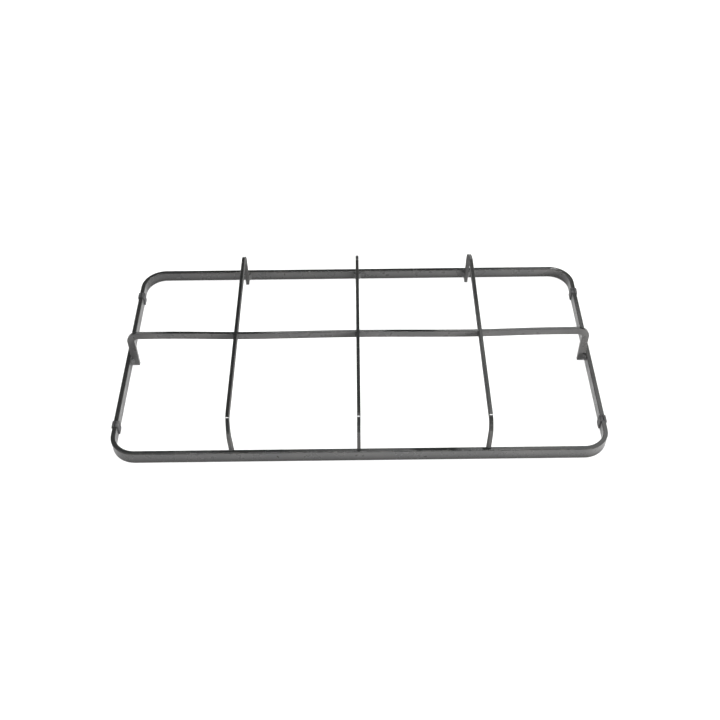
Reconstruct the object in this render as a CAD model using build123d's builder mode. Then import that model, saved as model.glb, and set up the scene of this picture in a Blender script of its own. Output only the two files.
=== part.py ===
"""Pan support for half of a gas hob.

A flat steel strip, set on edge and bent to a rounded rectangle, is the frame. One long bar runs
from left to right and three cross bars run from front to back. Each is a flat bar on edge with
both ends bent down, and its legs stand against the inside of the frame with a fillet weld on
each side. Where two bars cross they are half-lapped, so that all four carry a pan at one height.
Four rubber feet are clipped on the short sides near the corners.

Sizes are in millimetres. +X is to the right along the frame, +Y is to the back and +Z is up.
The origin is on the surface that the feet stand on, below the middle of the frame.
"""

import os

from build123d import *

# Frame strip
frame_length = 480.0
frame_depth = 255.0
frame_corner_radius = 25.0
strip_thickness = 4.5
strip_height = 11.5
strip_edge_radius = 0.8

# Support bars
bar_thickness = 3.0
bar_height = 7.5
bar_edge_chamfer = 0.5
long_bar_bend_radius = 12.0
cross_bar_bend_radius = 16.0
support_height = 45.0
cross_bar_spacing = 123.5
lap_clearance = 0.1
weld_leg = 2.0

# Rubber feet
foot_length = 9.0
foot_setback = 38.5
foot_wall = 1.2
foot_sole = 1.2
foot_lip_thickness = 1.0
foot_slot_width = 0.8
foot_corner_radius = 2.0
foot_end_radius = 3.0

# Heights and widths that follow from the sizes above
strip_bottom = foot_sole
pan_plane = strip_bottom + support_height
inner_length = frame_length - 2 * strip_thickness
inner_depth = frame_depth - 2 * strip_thickness
lap_width = bar_thickness + 2 * lap_clearance
weld_bottom = strip_bottom + strip_edge_radius
weld_length = strip_height - 2 * strip_edge_radius
foot_height = foot_sole + strip_height + foot_lip_thickness
foot_place_y = frame_depth / 2 - foot_setback
short_side_x = (frame_length - strip_thickness) / 2

os.makedirs("parts", exist_ok=True)


def finish(piece, name):
    """Labels a finished piece and writes it to its own file."""
    piece.part.label = name
    export_step(piece.part, f"parts/{name}.step")


def support_bar(plane, clear_span, bend_radius, laps, lap_side):
    """Makes a bar with both ends bent down, and the welds at its two legs.

    The plane's x runs along the bar and its y is up. The clear span is the room between the two
    rails that the legs stand against, and the bend radius is the bend's outer one. The laps are
    the places of the crossings along the bar, cut from above where lap_side is 1 and from below
    where it is -1.
    """
    leg_middle = (clear_span - bar_height) / 2
    bar_middle = pan_plane - bar_height / 2
    with BuildPart(plane) as bar:
        with BuildLine(plane) as route:
            FilletPolyline(
                (-leg_middle, strip_bottom),
                (-leg_middle, bar_middle),
                (leg_middle, bar_middle),
                (leg_middle, strip_bottom),
                radius=bend_radius - bar_height / 2,
            )
        with BuildSketch(Plane(route.line @ 0, x_dir=plane.x_dir, z_dir=route.line % 0)) as section:
            Rectangle(bar_height, bar_thickness)
            chamfer(section.vertices(), bar_edge_chamfer)
        sweep()
        with Locations(*[(place, bar_middle + lap_side * bar_height / 2) for place in laps]):
            Box(lap_width, bar_height, 2 * bar_thickness, mode=Mode.SUBTRACT)
        weld_origin = (plane.origin.X, plane.origin.Y, weld_bottom)
        with BuildSketch(Plane(weld_origin, x_dir=plane.x_dir, z_dir=(0, 0, 1))):
            for end in (-1, 1):
                rail_face = end * clear_span / 2
                weld_edge = rail_face - end * weld_leg
                Polygon(
                    (rail_face, -bar_thickness / 2 - weld_leg),
                    (rail_face, bar_thickness / 2 + weld_leg),
                    (weld_edge, bar_thickness / 2),
                    (weld_edge, -bar_thickness / 2),
                    align=None,
                )
        extrude(amount=weld_length)
    return bar


def clip_foot(side, end):
    """Makes a foot that grips the strip, on the left or right side and at the front or back end.

    Its outside is rounded both in section and seen from the side, and its top is slit from end
    to end so that it can be opened and pressed over the strip.
    """
    strip_middle = strip_bottom + strip_height / 2
    section = Plane.XZ.offset(-end * foot_place_y)
    with BuildPart() as foot:
        with BuildSketch(section):
            with Locations((side * short_side_x, foot_height / 2)):
                RectangleRounded(strip_thickness + 2 * foot_wall, foot_height, foot_corner_radius)
        extrude(amount=foot_length, both=True)
        with BuildSketch(Plane.YZ.offset(side * short_side_x)):
            with Locations((end * foot_place_y, foot_height / 2)):
                RectangleRounded(foot_length, foot_height, foot_end_radius)
        extrude(amount=foot_length, both=True, mode=Mode.INTERSECT)
        with BuildSketch(section):
            with Locations((side * short_side_x, strip_middle)):
                RectangleRounded(strip_thickness, strip_height, strip_edge_radius)
            with Locations((side * short_side_x, strip_bottom + strip_height + foot_lip_thickness / 2)):
                Rectangle(foot_slot_width, 2 * foot_lip_thickness)
        extrude(amount=foot_length, both=True, mode=Mode.SUBTRACT)
    return foot


with BuildPart() as perimeter_frame:
    with BuildSketch(Plane.XY.offset(strip_bottom)):
        RectangleRounded(frame_length, frame_depth, frame_corner_radius)
        RectangleRounded(
            inner_length,
            inner_depth,
            frame_corner_radius - strip_thickness,
            mode=Mode.SUBTRACT,
        )
    extrude(amount=strip_height)
    fillet(perimeter_frame.faces().filter_by(Axis.Z).edges(), strip_edge_radius)
finish(perimeter_frame, "perimeter_frame")

cross_bar_places = {
    "left": -cross_bar_spacing,
    "middle": 0.0,
    "right": cross_bar_spacing,
}

long_bar = support_bar(Plane.XZ, inner_length, long_bar_bend_radius, cross_bar_places.values(), 1)
finish(long_bar, "long_bar")

for name, place in cross_bar_places.items():
    cross_bar_plane = Plane.YZ.offset(place)
    cross_bar = support_bar(cross_bar_plane, inner_depth, cross_bar_bend_radius, [0.0], -1)
    finish(cross_bar, f"cross_bar_{name}")

for side_name, side in (("left", -1), ("right", 1)):
    for end_name, end in (("front", -1), ("back", 1)):
        finish(clip_foot(side, end), f"foot_{end_name}_{side_name}")
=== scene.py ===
# Looks of a hob pan support: black enamel over welded steel strips, and four rubber feet.
import math

import bmesh
import bpy
from mathutils import Matrix, Vector, noise


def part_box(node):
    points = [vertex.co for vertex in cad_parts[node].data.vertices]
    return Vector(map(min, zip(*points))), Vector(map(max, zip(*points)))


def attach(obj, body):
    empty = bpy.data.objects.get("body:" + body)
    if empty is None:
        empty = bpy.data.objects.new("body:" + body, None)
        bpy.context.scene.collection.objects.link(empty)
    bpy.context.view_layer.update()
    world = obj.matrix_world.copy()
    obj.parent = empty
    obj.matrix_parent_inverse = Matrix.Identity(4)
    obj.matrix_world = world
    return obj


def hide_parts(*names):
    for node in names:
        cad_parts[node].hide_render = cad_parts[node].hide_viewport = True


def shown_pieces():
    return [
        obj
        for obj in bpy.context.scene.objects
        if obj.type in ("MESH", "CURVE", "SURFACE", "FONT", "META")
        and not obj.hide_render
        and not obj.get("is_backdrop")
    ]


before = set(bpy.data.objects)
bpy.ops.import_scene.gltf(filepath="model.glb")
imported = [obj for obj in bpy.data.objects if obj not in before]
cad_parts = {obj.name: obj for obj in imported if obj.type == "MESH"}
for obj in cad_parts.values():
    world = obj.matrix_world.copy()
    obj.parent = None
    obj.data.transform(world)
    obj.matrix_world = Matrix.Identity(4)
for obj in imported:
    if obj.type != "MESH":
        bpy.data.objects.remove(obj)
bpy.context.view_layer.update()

# Sizes and places, read from the frame where it gives them, in metres
MM = 0.001
frame_low, frame_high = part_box("perimeter_frame")
long_low, long_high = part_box("long_bar")
cross_low, cross_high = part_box("cross_bar_right")
pan_plane = long_high.z
strip_bottom, strip_top = frame_low.z, frame_high.z
strip_height = strip_top - strip_bottom
strip_middle = (strip_top + strip_bottom) / 2
strip_thickness = frame_high.x - long_high.x
strip_edge_radius = 0.6 * MM
strip_ring_spacing = 4.0 * MM
frame_corner_radius = 25.0 * MM
bar_thickness = 3.4 * MM
bar_height = 7.5 * MM
bar_edge_radius = 0.3 * MM
bar_ring_spacing = 3.2 * MM
long_bar_bend_radius = 12.0 * MM
cross_bar_bend_radius = 16.0 * MM
lap_width = 3.6 * MM
foot_corner_radius = 2.0 * MM
foot_end_radius = 3.0 * MM
foot_edge_radius = 0.5 * MM
foot_slit = 0.8 * MM
foot_belly = 0.12 * MM
foot_belly_slope = 2.2
cross_bar_places = {
    "left": sum(corner.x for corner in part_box("cross_bar_left")) / 2,
    "middle": sum(corner.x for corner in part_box("cross_bar_middle")) / 2,
    "right": sum(corner.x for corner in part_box("cross_bar_right")) / 2,
}
cross_bar_spacing = cross_bar_places["right"]

# Marks of welding: how far strips and bars were drawn out of line or turned
front_rail_lean = 1.3 * MM
front_rail_sag = 0.6 * MM
long_bar_dip = 1.1 * MM
long_bar_end_rise = 0.6 * MM
long_bar_leg_lean = 2.0 * MM
long_bar_tilt = math.radians(4.0)

# How far each cross bar is out of place, and where the bottoms of its front and back legs end up
cross_bar_shifts = {
    "left": (-0.4 * MM, 1.2 * MM, -0.4 * MM),
    "middle": (-0.3 * MM, -0.6 * MM, -0.3 * MM),
    "right": (0.1 * MM, 0.0, -1.4 * MM),
}
cross_bar_bend_share = 0.75

# Weld beads: their sizes, how deep they sit in the faces they join, and how uneven they are
weld_size = 3.0 * MM
lap_weld_size = 1.3 * MM
sunk = 0.3 * MM
bead_rings = 22
bead_curve_steps = 8
bead_curve = 1.15
bead_end_size = 0.08
bead_ripple = 0.07
bead_ripple_length = 1.7 * MM
bead_unevenness = 0.25
bead_noise_scale = 300.0


def smooth_step(value, low, high):
    """Goes smoothly from 0 at low to 1 at high."""
    share = min(1.0, max(0.0, (value - low) / (high - low)))
    return share * share * (3.0 - 2.0 * share)


def eased_limit(value, limit, ease):
    """Keeps a value within a limit on both sides, and bends it softly over the last stretch."""
    over = abs(value) - limit + ease
    if ease == 0.0 or over <= 0.0:
        return value
    return math.copysign(limit - ease * math.exp(-over / ease), value)


# Mesh building


def rounded_section(width, height, radius, steps=6, support=0.4 * MM):
    """Points round a rectangle with rounded corners, each with a value that is 1 on the corners."""
    points = []
    corners = ((1, 1, 0), (-1, 1, 90), (-1, -1, 180), (1, -1, 270))
    for side, end, first_angle in corners:
        centre = Vector((side * (width / 2 - radius), end * (height / 2 - radius)))
        start = math.radians(first_angle)
        arrive = Vector((math.sin(start), -math.cos(start))) * support
        leave = Vector((-math.cos(start), -math.sin(start))) * support
        for step in range(steps + 1):
            angle = start + math.radians(90) * step / steps
            arm = Vector((math.cos(angle), math.sin(angle))) * radius
            edge = math.sin(math.pi * step / steps)
            if step == 0:
                points.append((*(centre + arm + arrive), 0.0))
            points.append((*(centre + arm), edge))
            if step == steps:
                points.append((*(centre + arm + leave), 0.0))
    return points


def rounded_route(corners, radius, step, closed, arc_steps=14):
    """Points and directions along straight runs that are joined by quarter circles."""
    corners = [Vector(corner) for corner in corners]
    count = len(corners)
    turns = range(count) if closed else range(1, count - 1)
    stations = []

    def add_run(start, end):
        steps = max(1, round((end - start).length / step))
        direction = (end - start).normalized()
        for index in range(steps):
            stations.append((start.lerp(end, index / steps), direction))

    def arms(turn):
        corner = corners[turn]
        arrive = (corner - corners[turn - 1]).normalized()
        leave = (corners[(turn + 1) % count] - corner).normalized()
        return corner, arrive, leave

    here = corners[0]
    if closed:
        corner, _, leave = arms(count - 1)
        here = corner + leave * radius
    for turn in turns:
        corner, arrive, leave = arms(turn)
        add_run(here, corner - arrive * radius)
        centre = corner + (leave - arrive) * radius
        for index in range(arc_steps):
            angle = math.radians(90) * index / arc_steps
            arm = arrive * math.sin(angle) - leave * math.cos(angle)
            stations.append((centre + arm * radius, arrive * math.cos(angle) + leave * math.sin(angle)))
        here = corner + leave * radius
    if not closed:
        add_run(here, corners[-1])
        stations.append((corners[-1], (corners[-1] - corners[-2]).normalized()))
    return stations


def add_loft(form, rings, closed=False, edges=None):
    """Joins rings of points to a closed skin, with a cap on each end of an open one."""
    edge_layer = form.verts.layers.float.get("edge") or form.verts.layers.float.new("edge")
    rows = []
    for ring in rings:
        row = [form.verts.new(point) for point in ring]
        for index, vert in enumerate(row):
            vert[edge_layer] = edges[index] if edges else 0.0
        rows.append(row)
    pairs = list(zip(rows, rows[1:] + rows[:1])) if closed else list(zip(rows, rows[1:]))
    for row, following in pairs:
        for index in range(len(row)):
            after = (index + 1) % len(row)
            form.faces.new((row[index], row[after], following[after], following[index]))
    if not closed:
        form.faces.new(reversed(rows[0]))
        form.faces.new(rows[-1])


def finished_piece(name, form, material, replaced=None):
    """Makes a piece of the object from a bmesh, smooth apart from its sharp corners."""
    bmesh.ops.recalc_face_normals(form, faces=form.faces)
    mesh = bpy.data.meshes.new(name)
    form.to_mesh(mesh)
    form.free()
    piece = bpy.data.objects.new(name, mesh)
    bpy.context.scene.collection.objects.link(piece)
    shade(mesh, material)
    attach(piece, "root")
    if replaced:
        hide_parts(replaced)
    return piece


def shade(mesh, material):
    """Gives a mesh its material and its smooth shading."""
    mesh.polygons.foreach_set("use_smooth", [True] * len(mesh.polygons))
    mesh.set_sharp_from_angle(angle=math.radians(40))
    mesh.materials.clear()
    mesh.materials.append(material)


def cut_boxes(piece, boxes, material):
    """Cuts boxes, each given by its lowest and highest corner, out of a piece."""
    form = bmesh.new()
    for low, high in boxes:
        size = high - low
        place = Matrix.Translation((low + high) / 2) @ Matrix.Diagonal((*size, 1.0))
        bmesh.ops.create_cube(form, size=1.0, matrix=place)
    cut_out(piece, form, material)


def cut_out(piece, form, material):
    """Cuts the shape of a bmesh out of a piece."""
    cutter_mesh = bpy.data.meshes.new("cutter")
    form.to_mesh(cutter_mesh)
    form.free()
    cutter = bpy.data.objects.new("cutter", cutter_mesh)
    bpy.context.scene.collection.objects.link(cutter)
    modifier = piece.modifiers.new("cut", "BOOLEAN")
    modifier.operation = "DIFFERENCE"
    modifier.solver = "EXACT"
    modifier.object = cutter
    depsgraph = bpy.context.evaluated_depsgraph_get()
    cut_mesh = bpy.data.meshes.new_from_object(piece.evaluated_get(depsgraph))
    piece.modifiers.clear()
    whole_mesh = piece.data
    piece.data = cut_mesh
    bpy.data.meshes.remove(whole_mesh)
    bpy.data.objects.remove(cutter)
    bpy.data.meshes.remove(cutter_mesh)
    cut_mesh.name = piece.name
    shade(cut_mesh, material)


# Materials


class NodeKit:
    """Short ways to add nodes to the tree of a material or of the world."""

    def __init__(self, tree, coordinate_name):
        self.tree = tree
        self.coordinates = tree.nodes.new("ShaderNodeTexCoord").outputs[coordinate_name]

    def parts_of(self, vector):
        """The parts of a vector along X, Y and Z."""
        node = self.tree.nodes.new("ShaderNodeSeparateXYZ")
        self.tree.links.new(vector, node.inputs[0])
        return node.outputs["X"], node.outputs["Y"], node.outputs["Z"]

    def attribute(self, name):
        """A number that the mesh keeps at its points."""
        node = self.tree.nodes.new("ShaderNodeAttribute")
        node.attribute_name = name
        return node.outputs["Fac"]

    def noise_of(self, scale, detail, roughness=0.5):
        """Noise in space, from 0 to 1."""
        node = self.tree.nodes.new("ShaderNodeTexNoise")
        node.inputs["Scale"].default_value = scale
        node.inputs["Detail"].default_value = detail
        node.inputs["Roughness"].default_value = roughness
        self.tree.links.new(self.coordinates, node.inputs["Vector"])
        return node.outputs["Fac"]

    def ranged(self, value, from_low, from_high, to_low=0.0, to_high=1.0):
        """Goes smoothly from one number to another while a value goes through a range."""
        node = self.tree.nodes.new("ShaderNodeMapRange")
        node.interpolation_type = "SMOOTHSTEP"
        node.inputs["From Min"].default_value = from_low
        node.inputs["From Max"].default_value = from_high
        node.inputs["To Min"].default_value = to_low
        node.inputs["To Max"].default_value = to_high
        self.tree.links.new(value, node.inputs["Value"])
        return node.outputs["Result"]

    def within(self, value, limits):
        """Is 1 between the two inner limits, 0 outside the two outer ones and smooth between them."""
        start, full, fade, end = limits
        return self.product(self.ranged(value, start, full), self.ranged(value, end, fade))

    def combined(self, operation, first, second):
        """The result of an operation on two numbers."""
        node = self.tree.nodes.new("ShaderNodeMath")
        node.operation = operation
        self.tree.links.new(first, node.inputs[0])
        self.tree.links.new(second, node.inputs[1])
        return node.outputs[0]

    def product(self, first, second):
        """One number times another."""
        return self.combined("MULTIPLY", first, second)

    def larger(self, first, second):
        """The larger of two numbers."""
        return self.combined("MAXIMUM", first, second)

    def blended(self, share, first, second):
        """A mix of two numbers."""
        node = self.tree.nodes.new("ShaderNodeMix")
        for index, value in ((0, share), (2, first), (3, second)):
            self.tree.links.new(value, node.inputs[index])
        return node.outputs[0]

    def mixed(self, share, first, second):
        """A mix of two colours, each of which is a grey, a colour or what a node gives."""
        node = self.tree.nodes.new("ShaderNodeMix")
        node.data_type = "RGBA"
        for socket, colour in ((node.inputs[6], first), (node.inputs[7], second)):
            if isinstance(colour, float):
                socket.default_value = (colour, colour, colour, 1.0)
            elif isinstance(colour, tuple):
                socket.default_value = (*colour, 1.0)
            else:
                self.tree.links.new(colour, socket)
        self.tree.links.new(share, node.inputs[0])
        return node.outputs[2]

    def bumped(self, height, distance, normal=None):
        """A normal that follows small heights, on top of another normal where one is given."""
        node = self.tree.nodes.new("ShaderNodeBump")
        node.inputs["Distance"].default_value = distance
        self.tree.links.new(height, node.inputs["Height"])
        if normal is not None:
            self.tree.links.new(normal, node.inputs["Normal"])
        return node.outputs["Normal"]


# Coats, as linear red, green and blue. Where there are two, they are the darker and lighter clouds.
strip_greys = (0.0325, 0.0325, 0.0325), (0.0405, 0.0395, 0.0385)
# The cross bars' greys are a darker copy of the strip's: painted shade on their upright faces.
shaded_bar_greys = (0.0290, 0.0290, 0.0290), (0.0375, 0.0365, 0.0355)
# The tops' greys are darker than the sides': painted shade on the tops.
shaded_top_greys = (0.0130, 0.0140, 0.0140), (0.0190, 0.0190, 0.0180)
speck_grey = (0.0580, 0.0575, 0.0560)
worn_enamel_grey = (0.0480, 0.0460, 0.0410)
rubber_greys = (0.022, 0.022, 0.024), (0.044, 0.043, 0.043)
worn_rubber_grey = (0.070, 0.069, 0.067)

# How the coats shine, how uneven they are and how far up the strip the painted shade at its bottom
# reaches
enamel_ior = 1.48
top_roughness = 0.03, 0.07
side_roughness_spread = 0.06
painted_shade_height = 8.0 * MM
wave_height, run_height, peel_height = 0.5 * MM, 0.10 * MM, 0.012 * MM
rubber_grain_height = 0.04 * MM


def enamel_material(name, greys, side_roughness, low_shade):
    """Black enamel with fine specks, glossy on top and duller on upright faces, uneven where it ran.

    The tops take darker greys, as painted shade, and upright faces darken towards the bottom of the
    strip, as painted shade: the low shade is how much of its colour an upright face keeps there. Edges
    are worn in patches, but not down there.
    """
    material = bpy.data.materials.new(name)
    material.use_nodes = True
    tree = material.node_tree
    shader = tree.nodes["Principled BSDF"]
    kit = NodeKit(tree, "Object")
    geometry = tree.nodes.new("ShaderNodeNewGeometry")
    _, _, facing_up = kit.parts_of(geometry.outputs["Normal"])
    _, _, place_up = kit.parts_of(geometry.outputs["Position"])
    upward = kit.ranged(facing_up, 0.1, 0.6)
    # Upright faces darken towards the bottom of the strip: painted shade near the floor.
    above_painted_shade = kit.ranged(place_up, strip_bottom, strip_bottom + painted_shade_height)
    dark, light = greys
    clouds = kit.ranged(kit.noise_of(scale=35.0, detail=4.0), 0.35, 0.65)
    sides = kit.mixed(above_painted_shade, tuple(low_shade * part for part in dark), kit.mixed(clouds, dark, light))
    # Faces that look up take the darker greys: painted shade on the tops.
    shaded_tops = kit.mixed(clouds, *shaded_top_greys)
    specks = kit.ranged(kit.noise_of(scale=2000.0, detail=2.0), 0.63, 0.72)
    coat_and_shade = kit.mixed(specks, kit.mixed(upward, sides, shaded_tops), speck_grey)
    patches = kit.ranged(kit.noise_of(scale=120.0, detail=4.0), 0.42, 0.70)
    worn = kit.product(kit.product(kit.attribute("edge"), above_painted_shade), patches)
    tree.links.new(kit.mixed(worn, coat_and_shade, worn_enamel_grey), shader.inputs["Base Color"])
    cloudy = kit.noise_of(scale=80.0, detail=4.0)
    smoothest, roughest = side_roughness - side_roughness_spread, side_roughness + side_roughness_spread
    matt = kit.ranged(cloudy, 0.3, 0.7, smoothest, roughest)
    gloss = kit.ranged(cloudy, 0.3, 0.7, *top_roughness)
    tree.links.new(kit.blended(upward, matt, gloss), shader.inputs["Roughness"])
    waves = kit.bumped(kit.noise_of(scale=11.0, detail=1.0), wave_height)
    runs = kit.bumped(kit.noise_of(scale=45.0, detail=2.0), run_height, waves)
    peel = kit.bumped(kit.noise_of(scale=420.0, detail=2.0), peel_height, runs)
    tree.links.new(peel, shader.inputs["Normal"])
    shader.inputs["IOR"].default_value = enamel_ior
    return material


def rubber_material():
    """Matt dark rubber with a fine moulded grain, a little dust and worn edges."""
    material = bpy.data.materials.new("foot_rubber")
    material.use_nodes = True
    tree = material.node_tree
    shader = tree.nodes["Principled BSDF"]
    kit = NodeKit(tree, "Object")
    dust = kit.ranged(kit.noise_of(scale=260.0, detail=5.0, roughness=0.65), 0.45, 0.75)
    patches = kit.ranged(kit.noise_of(scale=300.0, detail=3.0), 0.4, 0.7)
    worn = kit.product(kit.attribute("edge"), patches)
    colour = kit.mixed(worn, kit.mixed(dust, *rubber_greys), worn_rubber_grey)
    tree.links.new(colour, shader.inputs["Base Color"])
    dullness = kit.ranged(kit.noise_of(scale=500.0, detail=3.0), 0.3, 0.7, 0.50, 0.72)
    tree.links.new(dullness, shader.inputs["Roughness"])
    grain = kit.bumped(kit.noise_of(scale=2200.0, detail=3.0), rubber_grain_height)
    tree.links.new(grain, shader.inputs["Normal"])
    return material


# The frame's upright faces keep 0.30 of their colour at the bottom of the strip, as painted shade; the
# bars get none.
frame_enamel = enamel_material("frame_enamel", strip_greys, side_roughness=0.30, low_shade=0.30)
long_bar_enamel = enamel_material("long_bar_enamel", strip_greys, side_roughness=0.30, low_shade=1.0)
# The cross bars take the darker greys, as painted shade.
cross_bar_enamel = enamel_material("cross_bar_enamel", shaded_bar_greys, side_roughness=0.85, low_shade=1.0)
rubber = rubber_material()

# Frame strip


def frame_strip():
    """One strip on edge, bent to a rounded rectangle, whose front side leans back and sags a little."""
    middle_x = frame_high.x - strip_thickness / 2
    middle_y = frame_high.y - strip_thickness / 2
    corners = [(-middle_x, -middle_y), (middle_x, -middle_y), (middle_x, middle_y), (-middle_x, middle_y)]
    bend_radius = frame_corner_radius - strip_thickness / 2
    stations = rounded_route(corners, bend_radius, strip_ring_spacing, True)
    section = rounded_section(strip_thickness, strip_height, strip_edge_radius)
    rings = []
    for place, direction in stations:
        outward = Vector((direction.y, -direction.x))
        front = smooth_step(-place.y, frame_high.y - frame_corner_radius, middle_y)
        ring = []
        for across, up, edge in section:
            lean = Vector((0.0, front_rail_lean * front * (0.5 + up / strip_height)))
            sag = front_rail_sag * front * (0.5 - up / strip_height)
            ring.append((*(place + outward * across + lean), strip_middle + up - sag))
        rings.append(ring)
    form = bmesh.new()
    add_loft(form, rings, True, [edge for across, up, edge in section])
    finished_piece("enamel_frame", form, frame_enamel, "perimeter_frame")


# Support bars


def bar_rings(half_span, bend_radius, sideways, tilt=0.0):
    """Rings along a bar with both ends bent down, as (along, across, height) points.

    The function sideways gives how far the bar is out of line at a place along it and a height.
    The tilt turns the level run about its own line, and lets its higher edge stay where it is.
    """
    leg = half_span - bar_height / 2
    top = pan_plane - bar_height / 2
    corners = [(-leg, strip_bottom), (-leg, top), (leg, top), (leg, strip_bottom)]
    stations = rounded_route(corners, bend_radius - bar_height / 2, bar_ring_spacing, False)
    section = rounded_section(bar_thickness, bar_height, bar_edge_radius)
    rings = []
    for place, direction in stations:
        outward = Vector((-direction.y, direction.x))
        shift = sideways(place.x, place.y)
        twist = tilt * outward.y
        ring = []
        for across, up, edge in section:
            turned = across * math.cos(twist) + up * math.sin(twist)
            raised = up * math.cos(twist) - (across + bar_thickness / 2) * math.sin(twist)
            point = place + outward * raised
            ring.append((point.x, turned + shift, point.y))
        rings.append(ring)
    return rings, [edge for across, up, edge in section]


def long_bar_shift(along, height=pan_plane):
    """The long bar is drawn to the front at the outer crossings and at the bottom of its legs."""
    turn = 0.9 * cross_bar_spacing
    end = 1.6 * cross_bar_spacing
    to_front = long_bar_dip * smooth_step(abs(along), 0.0, turn)
    to_back = (long_bar_dip + long_bar_end_rise) * smooth_step(abs(along), turn, end)
    down_leg = smooth_step(pan_plane - height, long_bar_bend_radius, pan_plane - strip_bottom)
    return to_back - to_front - long_bar_leg_lean * down_leg


def cross_bar_shift(name, along, height):
    """A cross bar is a little out of place, and its front and back legs lean to one side."""
    whole, front_leg, back_leg = cross_bar_shifts[name]
    leg = front_leg if along < 0.0 else back_leg
    bend_start = cross_high.y - 1.25 * cross_bar_bend_radius
    round_bend = smooth_step(abs(along), bend_start, cross_high.y - bar_height / 2)
    down_leg = smooth_step(pan_plane - height, cross_bar_bend_radius, pan_plane - strip_bottom)
    bent = cross_bar_bend_share * round_bend + (1.0 - cross_bar_bend_share) * down_leg
    return whole + (leg - whole) * bent


def long_bar():
    """The bar from left to right, with a half-lap from above at each crossing."""
    rings, edges = bar_rings(long_high.x, long_bar_bend_radius, long_bar_shift, long_bar_tilt)
    form = bmesh.new()
    add_loft(form, rings, False, edges)
    piece = finished_piece("enamel_long_bar", form, long_bar_enamel, "long_bar")
    room = 2 * bar_thickness
    lap_bottom = pan_plane - bar_height / 2
    laps = []
    for name, place in cross_bar_places.items():
        crossing = place + cross_bar_shift(name, 0.0, pan_plane)
        low = Vector((crossing - lap_width / 2, -room, lap_bottom))
        high = Vector((crossing + lap_width / 2, room, pan_plane + room))
        laps.append((low, high))
    cut_boxes(piece, laps, long_bar_enamel)


def cross_bar(name, place):
    """A bar from front to back, with a half-lap from below at the long bar."""
    rings, edges = bar_rings(
        cross_high.y,
        cross_bar_bend_radius,
        lambda along, height: cross_bar_shift(name, along, height),
    )
    rings = [[(place + across, along, height) for along, across, height in ring] for ring in rings]
    form = bmesh.new()
    add_loft(form, rings, False, edges)
    node = f"cross_bar_{name}"
    piece = finished_piece(f"enamel_{node}", form, cross_bar_enamel, node)
    room = 2 * bar_thickness
    lap_top = pan_plane - bar_height / 2
    shift = long_bar_shift(place)
    low = Vector((place - room, shift - lap_width / 2, pan_plane - 2 * bar_height))
    high = Vector((place + room, shift + lap_width / 2, lap_top))
    cut_boxes(piece, [(low, high)], cross_bar_enamel)


# Welds


def add_bead(form, corner, along_a, along_b, bottom, top, size, seed):
    """Adds an upright bead in the corner between two faces, which run along the two directions."""
    rings = []
    for index in range(bead_rings + 1):
        share = index / bead_rings
        height = bottom + (top - bottom) * share
        end_taper = max(bead_end_size, (1.0 - abs(2.0 * share - 1.0) ** 4) ** 0.5)
        ripple = 1.0 + bead_ripple * math.sin(2.0 * math.pi * share * (top - bottom) / bead_ripple_length)
        reach_a, reach_b = (
            size * end_taper * ripple
            * (1.0 + bead_unevenness * noise.noise((seed, height * bead_noise_scale, layer)))
            for layer in (0.0, 9.0)
        )
        ring = [corner - along_a * sunk - along_b * sunk, corner + along_a * reach_a - along_b * sunk]
        for step in range(bead_curve_steps + 1):
            turn = step / bead_curve_steps
            ring.append(
                corner
                + along_a * reach_a * (1.0 - turn) ** bead_curve
                + along_b * reach_b * turn**bead_curve
            )
        ring.append(corner - along_a * sunk + along_b * reach_b)
        rings.append([(point.x, point.y, height) for point in ring])
    add_loft(form, rings)


def leg_welds(name, legs):
    """A bead on each side of each leg, where it stands against the frame."""
    form = bmesh.new()
    bottom, top = strip_bottom + strip_edge_radius / 2, strip_top - strip_edge_radius / 2
    for number, (foot, inward) in enumerate(legs):
        inward = Vector(inward)
        for side in (-1, 1):
            sideways = Vector((inward.y, inward.x)) * side
            corner = Vector(foot) + sideways * bar_thickness / 2
            add_bead(form, corner, sideways, inward, bottom, top, weld_size, 7.3 * number + side)
    finished_piece(f"welds_{name}", form, long_bar_enamel)


def lap_welds(name, place):
    """A small bead in each corner of a crossing."""
    form = bmesh.new()
    bottom, top = pan_plane - bar_height + bar_edge_radius / 2, pan_plane - bar_edge_radius / 2
    crossing = Vector((place + cross_bar_shift(name, 0.0, pan_plane), long_bar_shift(place)))
    for side in (-1, 1):
        for end in (-1, 1):
            corner = crossing + Vector((side, end)) * bar_thickness / 2
            along_x, along_y = Vector((side, 0.0)), Vector((0.0, end))
            seed = 100.0 * place + side + 2 * end
            add_bead(form, corner, along_x, along_y, bottom, top, lap_weld_size, seed)
    finished_piece(f"lap_welds_{name}", form, cross_bar_enamel)


# Rubber feet


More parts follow.
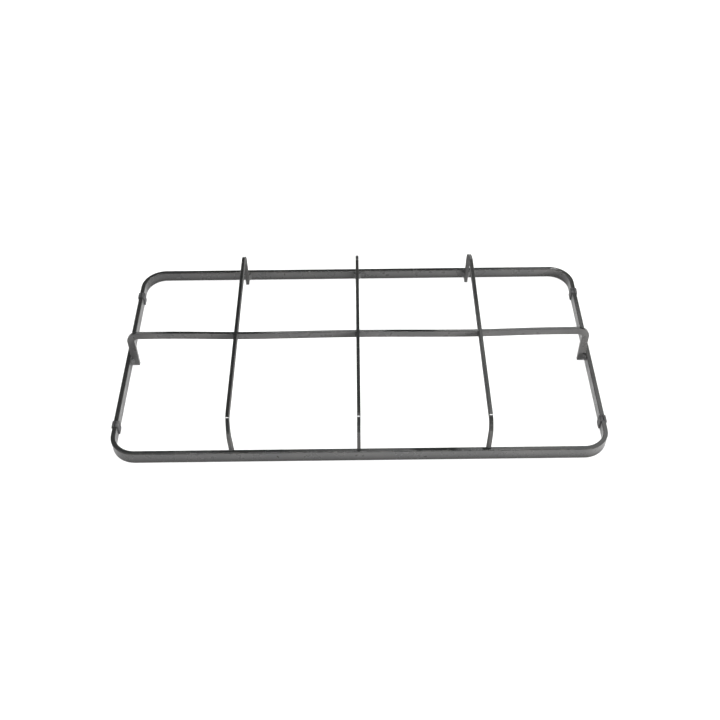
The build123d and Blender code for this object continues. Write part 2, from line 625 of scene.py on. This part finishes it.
def rubber_foot(node):
    """A sleeve slit along its top and pressed over the strip, its ends rounded and its sides bellied."""
    low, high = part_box(node)
    middle = (low + high) / 2
    width, length, height = high - low
    section = rounded_section(width - 2 * foot_belly, height, foot_corner_radius, support=0.3 * MM)
    ends = []
    for degrees in range(0, 91, 10):
        angle = math.radians(degrees)
        inset = foot_end_radius * (1.0 - math.cos(angle))
        drop = foot_end_radius * (1.0 - math.sin(angle))
        reach = max(0.0, foot_edge_radius - inset)
        pinch = foot_edge_radius - math.sqrt(foot_edge_radius**2 - reach**2)
        ends.append((length / 2 - inset, drop, pinch))
    stations = [(-along, drop, pinch) for along, drop, pinch in ends]
    stations.append((0.0, 0.0, 0.0))
    stations += reversed(ends)
    rings = []
    for along, drop, pinch in stations:
        swell = foot_belly * (1.0 - (2.0 * along / length) ** 2) - pinch
        ring = []
        for across, up, edge in section:
            out = swell * max(-1.0, min(1.0, foot_belly_slope * across / width))
            rise = eased_limit(up, height / 2 - drop, min(foot_edge_radius, drop))
            ring.append((middle.x + across + out, middle.y + along, middle.z + rise))
        rings.append(ring)
    form = bmesh.new()
    add_loft(form, rings, False, [edge for across, up, edge in section])
    piece = finished_piece(f"rubber_{node}", form, rubber, node)
    keyhole = open_ring(rounded_section(strip_thickness, strip_height, strip_edge_radius), foot_slit / 2)
    keyhole.append((foot_slit / 2, height, 0.0))
    keyhole.append((-foot_slit / 2, height, 0.0))
    cutter = bmesh.new()
    rings = []
    for along in (middle.y - length, middle.y + length):
        rings.append([(middle.x + across, along, strip_middle + up) for across, up, edge in keyhole])
    add_loft(cutter, rings)
    bmesh.ops.recalc_face_normals(cutter, faces=cutter.faces)
    cut_out(piece, cutter, rubber)


def open_ring(section, slot_half):
    """A section's points from one side of a slot in its top to the other."""
    top = max(up for across, up, edge in section)
    start = next(
        index
        for index, (across, up, edge) in enumerate(section)
        if up > top - 1e-9 and across <= 0.0
    )
    turned = section[start:] + section[:start]
    return [(-slot_half, top, 1.0), *turned, (slot_half, top, 1.0)]


frame_strip()
long_bar()
end_shift = long_bar_shift(long_high.x, strip_middle)
leg_welds("long_bar", [((long_low.x, end_shift), (1.0, 0.0)), ((long_high.x, end_shift), (-1.0, 0.0))])
for bar_name, bar_place in cross_bar_places.items():
    cross_bar(bar_name, bar_place)
    front_foot = bar_place + cross_bar_shift(bar_name, cross_low.y, strip_bottom)
    back_foot = bar_place + cross_bar_shift(bar_name, cross_high.y, strip_bottom)
    leg_welds(
        f"cross_bar_{bar_name}",
        [((front_foot, cross_low.y), (0.0, 1.0)), ((back_foot, cross_high.y), (0.0, -1.0))],
    )
    lap_welds(bar_name, bar_place)
for foot_node in ("foot_front_left", "foot_front_right", "foot_back_left", "foot_back_right"):
    rubber_foot(foot_node)

# Stage

floor_half_size = 6.0
light_target = (0.0, 0.0, 0.0)

# Where the studio's forms start and end, as parts of a unit direction
wall_top_z = 0.14, 0.24
bright_side_x = 0.02, 0.14
bright_top_z = 0.78, 0.83
bright_back_y = 0.10, 0.30
left_beam_x = -0.160, -0.145, -0.115, -0.100
right_beam_x = 0.048, 0.064, 0.096, 0.112
corner_x = 0.198, 0.206
corner_z = 0.712, 0.672
band_z = 0.560, 0.580, 0.642, 0.658
left_gap_x = -0.215, -0.200, -0.105, -0.095
right_gap_x = 0.028, 0.036, 0.078, 0.086
lamp_x = 0.209, 0.211, 0.212, 0.214
lamp_z = 0.660, 0.662, 0.672, 0.674

# How bright they are
wall_light = 1.0
dim_ceiling_light = 0.25
bright_ceiling_light = 2.5
band_light = 2.8
lamp_light = 24.0
dark_light = 0.02


def pale_floor():
    """A plain pale floor that reaches past the view."""
    material = bpy.data.materials.new("pale_floor")
    material.use_nodes = True
    shader = material.node_tree.nodes["Principled BSDF"]
    shader.inputs["Base Color"].default_value = (0.86, 0.86, 0.86, 1.0)
    shader.inputs["Roughness"].default_value = 0.9
    shader.inputs["Specular IOR Level"].default_value = 0.1
    form = bmesh.new()
    bmesh.ops.create_grid(form, x_segments=1, y_segments=1, size=floor_half_size)
    mesh = bpy.data.meshes.new("floor")
    form.to_mesh(mesh)
    form.free()
    mesh.materials.append(material)
    floor = bpy.data.objects.new("floor", mesh)
    bpy.context.scene.collection.objects.link(floor)
    floor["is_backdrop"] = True
    return floor


def linked_group(name, members):
    """A collection that says which things a light falls on, or which of them shade it."""
    group = bpy.data.collections.new(name)
    for member in members:
        group.objects.link(member)
    return group


def area_light(name, place, width, height, radiance, lit, shading):
    """A softbox that faces the middle, falls on one group and is shaded by another."""
    light = bpy.data.lights.new(name, "AREA")
    light.shape = "RECTANGLE"
    light.size, light.size_y = width, height
    light.energy = radiance * math.pi * width * height
    lamp = bpy.data.objects.new(name, light)
    bpy.context.scene.collection.objects.link(lamp)
    lamp.location = place
    lamp.rotation_mode = "QUATERNION"
    lamp.rotation_quaternion = (Vector(light_target) - Vector(place)).to_track_quat("-Z", "Y")
    lamp.visible_camera = False
    lamp.light_linking.receiver_collection = lit
    lamp.light_linking.blocker_collection = shading
    return lamp


def studio_world():
    """Pale walls low down under a dim ceiling, which is bright overhead and behind on the right.

    The glossy tops mirror two dark beams in it, and a dark corner behind on the right with a
    small lamp. The tilted top of the long bar mirrors a bright band with two dark gaps.
    """
    world = bpy.data.worlds.new("studio")
    world.use_nodes = True
    tree = world.node_tree
    background = tree.nodes["Background"]
    kit = NodeKit(tree, "Generated")
    across, deep, high = kit.parts_of(kit.coordinates)
    clouds = kit.ranged(kit.noise_of(scale=5.0, detail=2.0), 0.25, 0.55)
    overhead_or_right = kit.larger(kit.ranged(across, *bright_side_x), kit.ranged(high, *bright_top_z))
    behind = kit.product(kit.ranged(deep, *bright_back_y), clouds)
    bright = kit.product(overhead_or_right, behind)
    ceiling = kit.mixed(bright, dim_ceiling_light, bright_ceiling_light)
    beams = kit.larger(kit.within(across, left_beam_x), kit.within(across, right_beam_x))
    corner = kit.product(kit.ranged(across, *corner_x), kit.ranged(high, *corner_z))
    beamed = kit.mixed(kit.larger(beams, corner), ceiling, dark_light)
    gaps = kit.larger(kit.within(across, left_gap_x), kit.within(across, right_gap_x))
    band = kit.mixed(gaps, band_light, dark_light)
    banded = kit.mixed(kit.within(high, band_z), beamed, band)
    lamp = kit.product(kit.within(across, lamp_x), kit.within(high, lamp_z))
    upper = kit.mixed(lamp, banded, lamp_light)
    room = kit.mixed(kit.ranged(high, *wall_top_z), wall_light, upper)
    tree.links.new(room, background.inputs["Color"])
    background.inputs["Strength"].default_value = 1.0
    bpy.context.scene.world = world


def photo_camera():
    """The camera at the photograph's viewing angle."""
    distance = 0.98621
    elevation, yaw, roll = math.radians(48.578), math.radians(-0.150), math.radians(-0.549)
    target = Vector((1.571 * MM, 0.350 * MM, strip_bottom))
    back = Vector(
        (
            math.sin(yaw) * math.cos(elevation),
            -math.cos(yaw) * math.cos(elevation),
            math.sin(elevation),
        )
    )
    right = Vector((math.cos(yaw), math.sin(yaw), 0.0))
    up = back.cross(right)
    right, up = (
        right * math.cos(roll) + up * math.sin(roll),
        up * math.cos(roll) - right * math.sin(roll),
    )
    data = bpy.data.cameras.new("camera")
    data.sensor_width = 36.0
    data.lens = 47.103
    camera = bpy.data.objects.new("camera", data)
    bpy.context.scene.collection.objects.link(camera)
    turn = Matrix((right, up, back)).transposed().to_4x4()
    camera.matrix_world = Matrix.Translation(target + back * distance) @ turn
    bpy.context.scene.camera = camera


floor_only = linked_group("floor_only", [pale_floor()])
object_only = linked_group("object_only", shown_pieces())
studio_world()
area_light(
    "ceiling_strip",
    place=(0.0, 0.50, 1.52),
    width=0.9,
    height=0.12,
    radiance=40.0,
    lit=object_only,
    shading=floor_only,
)
front_panel = area_light(
    "front_panel",
    place=(0.95, -0.85, 0.22),
    width=1.0,
    height=0.24,
    radiance=70.0,
    lit=object_only,
    shading=object_only,
)
front_panel.visible_glossy = False
area_light(
    "floor_wash",
    place=(0.0, 0.0, 4.0),
    width=20.0,
    height=20.0,
    radiance=1.15,
    lit=floor_only,
    shading=floor_only,
)
photo_camera()
bpy.context.scene.view_settings.view_transform = "Standard"
